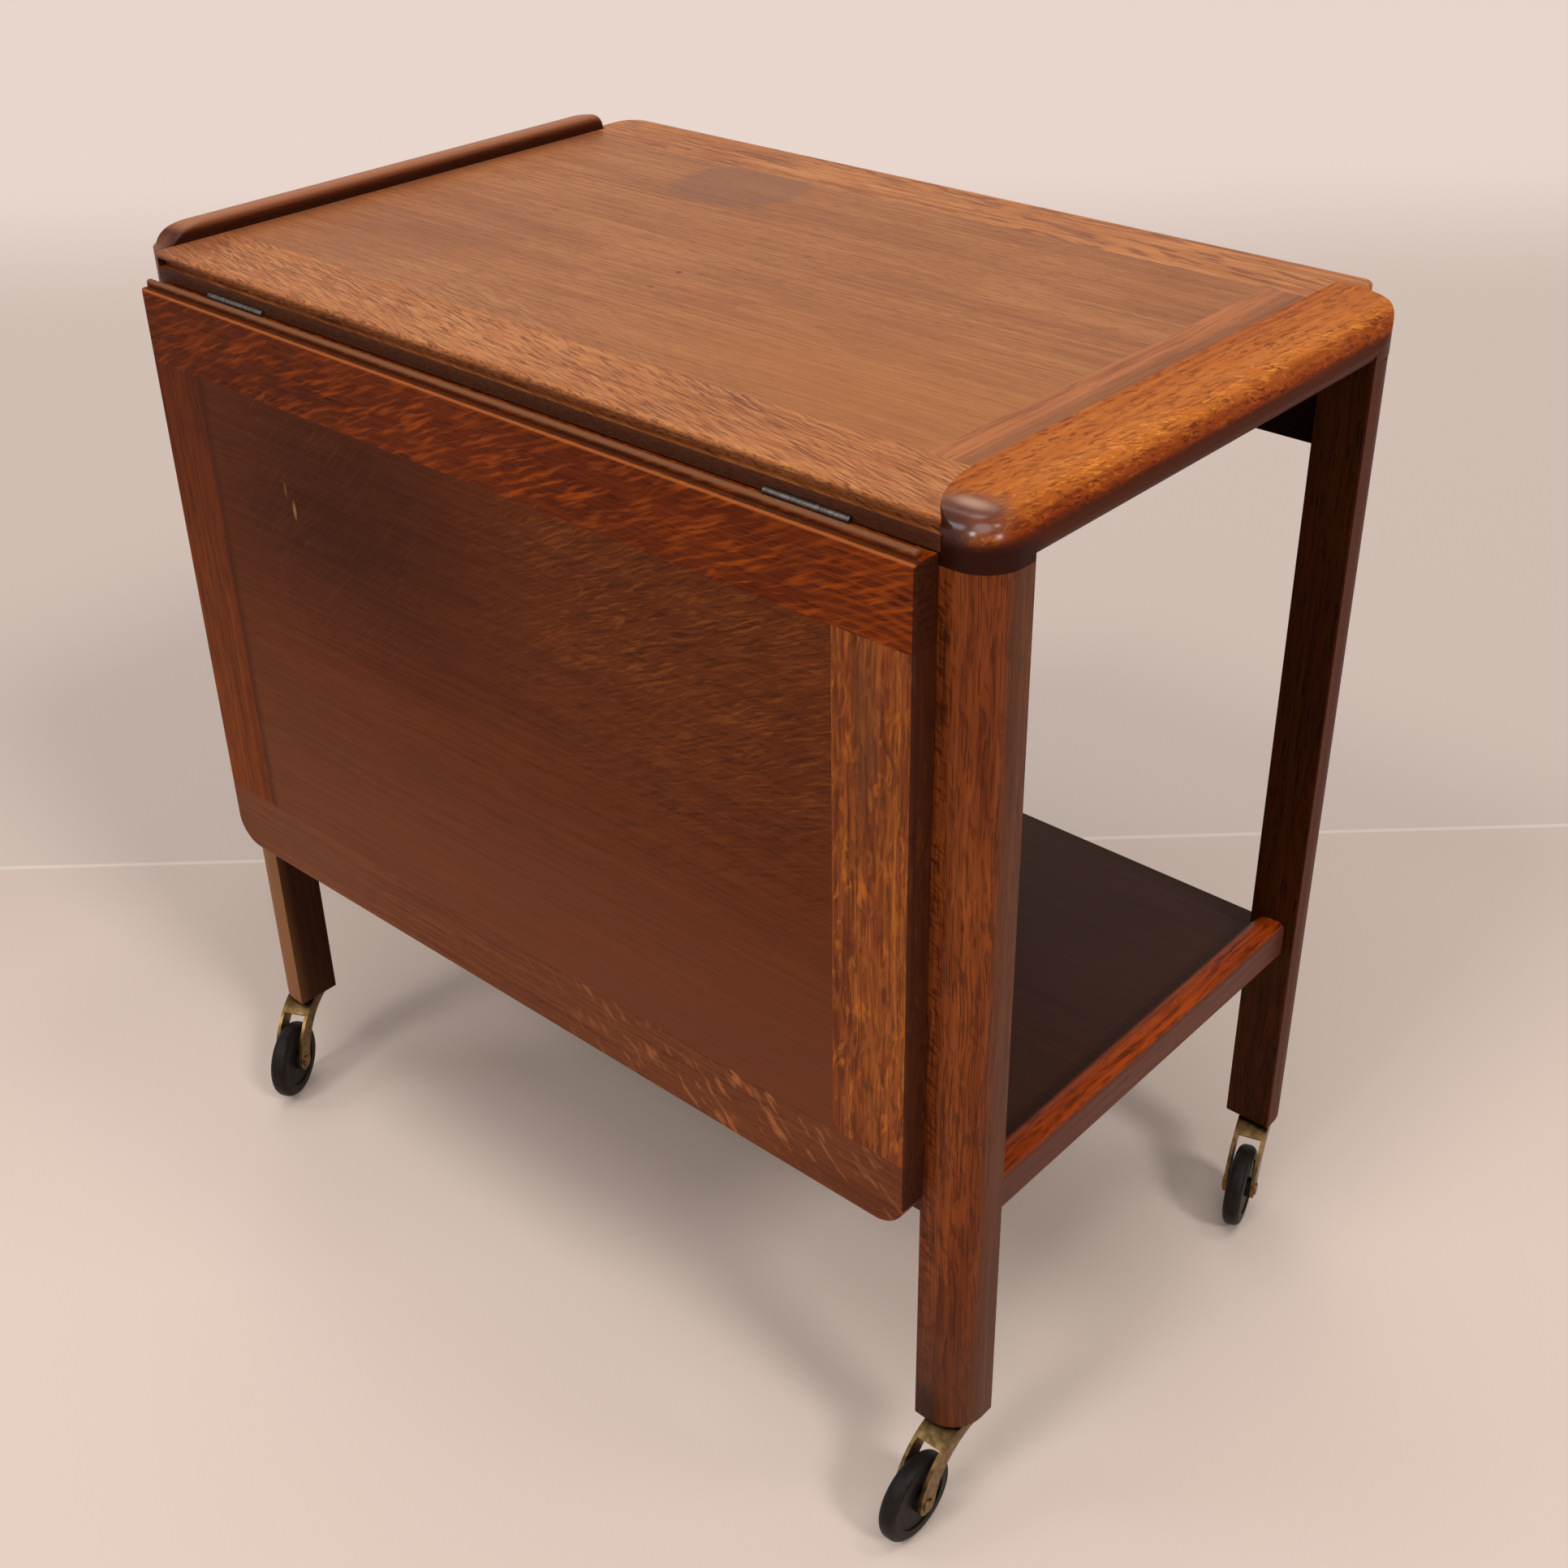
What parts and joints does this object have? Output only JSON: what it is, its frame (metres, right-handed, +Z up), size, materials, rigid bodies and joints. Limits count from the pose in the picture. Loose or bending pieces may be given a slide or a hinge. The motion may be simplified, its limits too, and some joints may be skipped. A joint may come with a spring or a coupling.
{
  "type": "drop leaf tea trolley",
  "caption": "Dark oak drop leaf tea trolley with rounded end rails, a raised end lip, a lower shelf, a hinged front leaf on swinging prop arms and swivel casters.",
  "frame": {"origin": "centre of the bottom of the box around the trolley at rest, on the floor", "axes": "+X along the length of the trolley towards the flush end rail, -Y towards the drop leaf, +Z up"},
  "size_m": [0.7178, 0.5042, 0.7125],
  "materials": {
    "oak_top": "worn satin shellac",
    "oak_frame": "dark satin shellac",
    "oak_shelf": "dark satin shellac",
    "oak_leaf": "dark satin shellac",
    "raw_wood": "unfinished",
    "steel": "dull",
    "caster_brass": "tarnished brass plate",
    "wheel_hub": "moulded",
    "wheel_rubber": "worn"
  },
  "bodies": {
    "frame": {"top_panel": "oak_top", "top_front_rail": "oak_top", "top_rear_rail": "oak_top", "top_right_band": "oak_top", "right_end_rail": "oak_frame", "left_gallery_rail": "oak_frame", "front_apron": "oak_frame", "rear_apron": "oak_frame", "top_glue_blocks": "raw_wood", "shelf_panel": "oak_shelf", "shelf_right_rail": "oak_frame", "shelf_left_rail": "oak_frame", "leg_front_right": "oak_frame", "leg_rear_right": "oak_frame", "leg_front_left": "oak_frame", "leg_rear_left": "oak_frame", "leg_dowels": "raw_wood", "apron_dowels": "raw_wood", "shelf_rail_dowels": "raw_wood", "caster_sockets": "steel", "hinge_top_flaps": "steel", "hinge_pins": "steel", "hinge_top_screws": "steel", "arm_pivot_bolts": "steel", "arm_washers": "steel"},
    "leaf": {"leaf_hinge_rail": "oak_leaf", "leaf_bottom_rail": "oak_leaf", "leaf_left_stile": "oak_leaf", "leaf_right_stile": "oak_leaf", "leaf_panel": "oak_leaf", "hinge_leaf_flaps": "steel", "hinge_leaf_screws": "steel", "arm_catch_plates": "steel", "catch_plate_screws": "steel"},
    "left_arm": {"support_arm_left": "oak_frame"},
    "right_arm": {"support_arm_right": "oak_frame"},
    "caster_front_right": {"caster_fork_front_right": "caster_brass", "caster_stem_front_right": "caster_brass", "caster_axle_front_right": "caster_brass"},
    "wheel_front_right": {"caster_hub_front_right": "wheel_hub", "caster_tyre_front_right": "wheel_rubber"},
    "caster_rear_right": {"caster_fork_rear_right": "caster_brass", "caster_stem_rear_right": "caster_brass", "caster_axle_rear_right": "caster_brass"},
    "wheel_rear_right": {"caster_hub_rear_right": "wheel_hub", "caster_tyre_rear_right": "wheel_rubber"},
    "caster_front_left": {"caster_fork_front_left": "caster_brass", "caster_stem_front_left": "caster_brass", "caster_axle_front_left": "caster_brass"},
    "wheel_front_left": {"caster_hub_front_left": "wheel_hub", "caster_tyre_front_left": "wheel_rubber"},
    "caster_rear_left": {"caster_fork_rear_left": "caster_brass", "caster_stem_rear_left": "caster_brass", "caster_axle_rear_left": "caster_brass"},
    "wheel_rear_left": {"caster_hub_rear_left": "wheel_hub", "caster_tyre_rear_left": "wheel_rubber"}
  },
  "joints": [
    {"name": "leaf_hinge", "type": "hinge", "parent": "frame", "child": "leaf", "pos_m": [-0.00918, -0.1994, 0.681], "axis": [-1, 0, 0], "range_deg": [0, 90]},
    {"name": "left_arm_pivot", "type": "hinge", "parent": "frame", "child": "left_arm", "pos_m": [-0.31662, -0.1854, 0.531], "axis": [-1, 0, 0], "range_deg": [0, 135]},
    {"name": "right_arm_pivot", "type": "hinge", "parent": "frame", "child": "right_arm", "pos_m": [0.30878, -0.1854, 0.531], "axis": [-1, 0, 0], "range_deg": [0, 135]},
    {"name": "front_right_swivel", "type": "hinge", "parent": "frame", "child": "caster_front_right", "pos_m": [0.33358, -0.1824, 0.09], "axis": [0, 0, 1], "continuous": true},
    {"name": "front_right_wheel_spin", "type": "hinge", "parent": "caster_front_right", "child": "wheel_front_right", "pos_m": [0.33358, -0.2214, 0.0307], "axis": [1, 0, 0], "continuous": true},
    {"name": "rear_right_swivel", "type": "hinge", "parent": "frame", "child": "caster_rear_right", "pos_m": [0.33358, 0.1966, 0.09], "axis": [0, 0, 1], "continuous": true},
    {"name": "rear_right_wheel_spin", "type": "hinge", "parent": "caster_rear_right", "child": "wheel_rear_right", "pos_m": [0.34498, 0.1593, 0.0307], "axis": [0.9563, 0.2924, 0], "continuous": true},
    {"name": "front_left_swivel", "type": "hinge", "parent": "frame", "child": "caster_front_left", "pos_m": [-0.34142, -0.1824, 0.09], "axis": [0, 0, 1], "continuous": true},
    {"name": "front_left_wheel_spin", "type": "hinge", "parent": "caster_front_left", "child": "wheel_front_left", "pos_m": [-0.32312, -0.21683, 0.0307], "axis": [0.8829, 0.4695, 0], "continuous": true},
    {"name": "rear_left_swivel", "type": "hinge", "parent": "frame", "child": "caster_rear_left", "pos_m": [-0.34142, 0.1966, 0.09], "axis": [0, 0, 1], "continuous": true},
    {"name": "rear_left_wheel_spin", "type": "hinge", "parent": "caster_rear_left", "child": "wheel_rear_left", "pos_m": [-0.33133, 0.15893, 0.0307], "axis": [0.9659, 0.2588, 0], "continuous": true}
  ],
  "couplings": [
    {"joint": "left_arm_pivot", "follows": "leaf_hinge", "ratio": 1.5},
    {"joint": "right_arm_pivot", "follows": "leaf_hinge", "ratio": 1.5}
  ]
}
